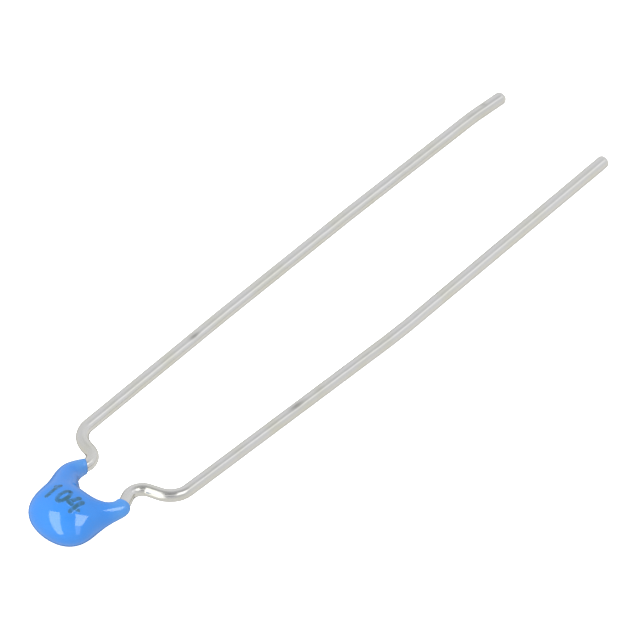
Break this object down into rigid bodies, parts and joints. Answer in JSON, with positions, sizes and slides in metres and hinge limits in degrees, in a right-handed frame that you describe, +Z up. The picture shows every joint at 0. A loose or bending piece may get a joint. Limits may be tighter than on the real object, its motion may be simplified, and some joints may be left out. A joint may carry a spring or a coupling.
{
  "type": "multilayer ceramic capacitor",
  "caption": "Small blue dipped ceramic capacitor, lying flat, with two long parallel wires kinked outward just past the body.",
  "frame": {"origin": "centre of the bounding box at the surface that the part lies on", "axes": "+Y along the leads from the body to the tips, +X across the leads, +Z up from the surface"},
  "size_m": [0.0061, 0.0294, 0.0021],
  "materials": {
    "coating": "glossy dipped epoxy",
    "tinned_wire": "satin tin plating on steel wire",
    "ceramic": "matt fired ceramic",
    "electrode": "fired nickel layers",
    "termination": "tin over fired metal",
    "solder": "bright solder"
  },
  "bodies": {
    "root": {"coating": "coating", "ceramic_body": "ceramic", "left_electrodes": "electrode", "right_electrodes": "electrode", "left_termination": "termination", "right_termination": "termination", "left_solder": "solder", "right_solder": "solder", "left_lead": "tinned_wire", "right_lead": "tinned_wire"}
  },
  "joints": []
}
